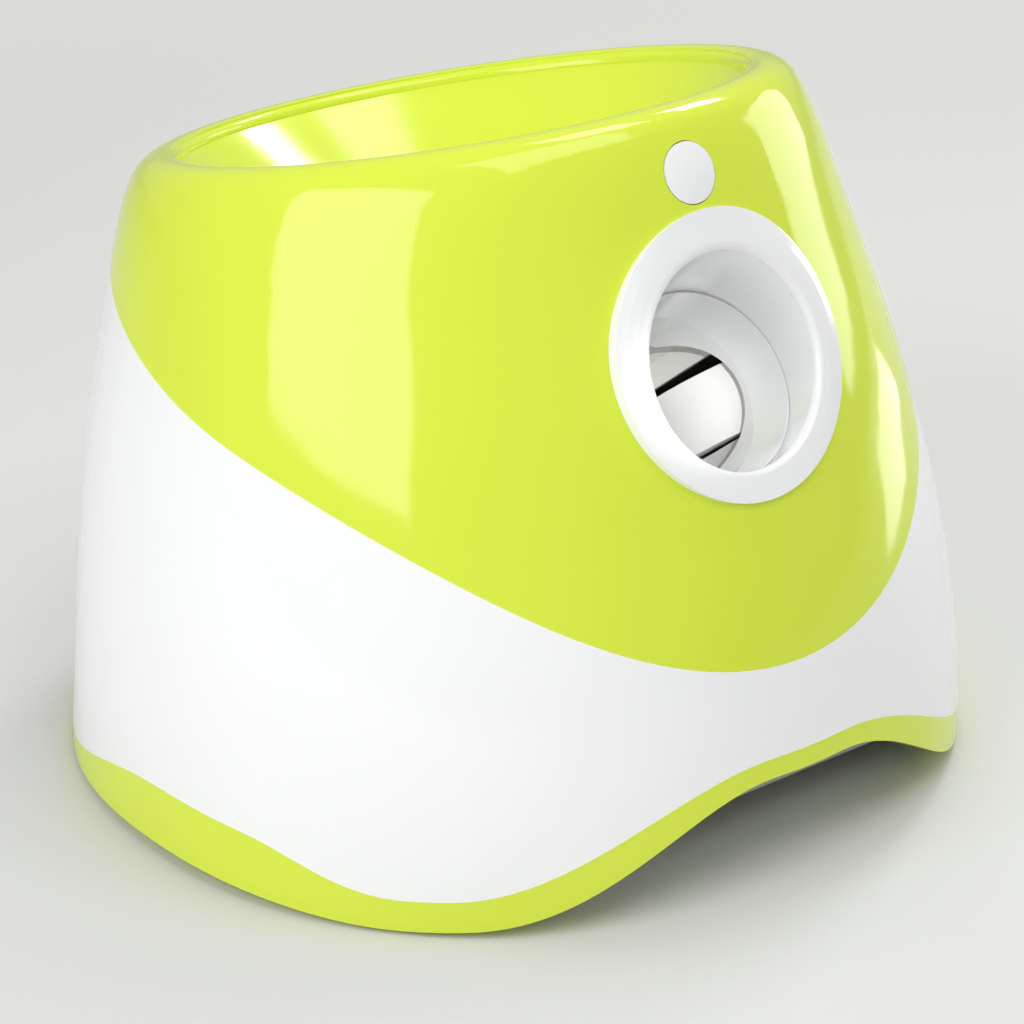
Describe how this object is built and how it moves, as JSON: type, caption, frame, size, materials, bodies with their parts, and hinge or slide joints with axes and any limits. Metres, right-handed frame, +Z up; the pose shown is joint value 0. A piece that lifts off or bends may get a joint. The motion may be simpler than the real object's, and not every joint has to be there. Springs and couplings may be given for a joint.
{
  "type": "automatic ball launcher",
  "caption": "Toy launcher for small balls: a funnel drops a ball into a channel where spinning wheels throw it out of a round front outlet.",
  "frame": {"origin": "centre of the bounding box, on the surface that the rubber feet stand on", "axes": "+Z up; -Y is the front, with the outlet and the button; X is the width"},
  "size_m": [0.2892, 0.2806, 0.2275],
  "materials": {
    "lime_abs": "glossy moulded ABS, lime",
    "white_abs": "glossy moulded ABS, white",
    "grey_abs": "light grey moulded ABS",
    "black_abs": "black moulded ABS",
    "black_rubber": "black rubber",
    "white_tyre": "white grippy elastomer",
    "steel": "zinc-plated steel",
    "spring_steel": "nickel-plated spring steel",
    "fr4": "green solder mask on glass epoxy",
    "parts": "mixed electronic parts",
    "cell": "sleeved dry cell",
    "acetal": "white acetal",
    "copper": "copper windings on laminated steel"
  },
  "bodies": {
    "housing": {"upper_shell": "lime_abs", "lower_shell": "white_abs", "base_trim": "lime_abs", "base_pan": "grey_abs", "outlet_ring": "white_abs", "hopper": "lime_abs", "rubber_feet": "black_rubber", "housing_screws": "steel", "button_switch": "black_abs", "button_board": "fr4", "launch_barrel": "white_abs", "ball_channel": "grey_abs", "drop_tube": "grey_abs", "trip_pin": "steel", "trip_switch": "black_abs", "motor_screws": "steel", "bracket_screws": "steel", "launcher_stand": "grey_abs", "stand_screws": "steel", "battery_box": "black_abs", "battery_cells": "cell", "battery_contacts": "spring_steel", "control_board": "fr4", "board_parts": "parts", "board_screws": "steel", "power_jack": "black_abs", "motor_bracket_left": "steel", "motor_can_left": "steel", "motor_end_cap_left": "black_abs", "motor_bracket_right": "steel", "motor_can_right": "steel", "motor_end_cap_right": "black_abs"},
    "button": {"button_cap": "white_abs", "button_plunger": "acetal"},
    "trip_lever": {"trip_lever": "acetal"},
    "wheel_left": {"wheel_tyre_left": "white_tyre", "wheel_hub_left": "white_abs", "motor_shaft_left": "steel", "motor_rotor_left": "copper"},
    "wheel_right": {"wheel_tyre_right": "white_tyre", "wheel_hub_right": "white_abs", "motor_shaft_right": "steel", "motor_rotor_right": "copper"},
    "battery_door": {"battery_door": "grey_abs"}
  },
  "joints": [
    {"name": "button_press", "type": "slide", "parent": "housing", "child": "button", "axis": [0, 0.9135, -0.4067], "range_m": [0, 0.001], "stiffness_N_per_m": 300},
    {"name": "trip_swing", "type": "hinge", "parent": "housing", "child": "trip_lever", "pos_m": [0, 0.02266, 0.12318], "axis": [1, 0, 0], "range_deg": [0, 20], "stiffness_Nm_per_rad": 0.002, "springref_deg": -5.73},
    {"name": "wheel_left_spin", "type": "hinge", "parent": "housing", "child": "wheel_left", "pos_m": [-0.06, -0.0505, 0.11562], "axis": [0, 0.6157, 0.788], "continuous": true},
    {"name": "wheel_right_spin", "type": "hinge", "parent": "housing", "child": "wheel_right", "pos_m": [0.06, -0.0505, 0.11562], "axis": [0, 0.6157, 0.788], "continuous": true},
    {"name": "door_slide", "type": "slide", "parent": "housing", "child": "battery_door", "axis": [0, 1, 0], "range_m": [0, 0.01]}
  ]
}
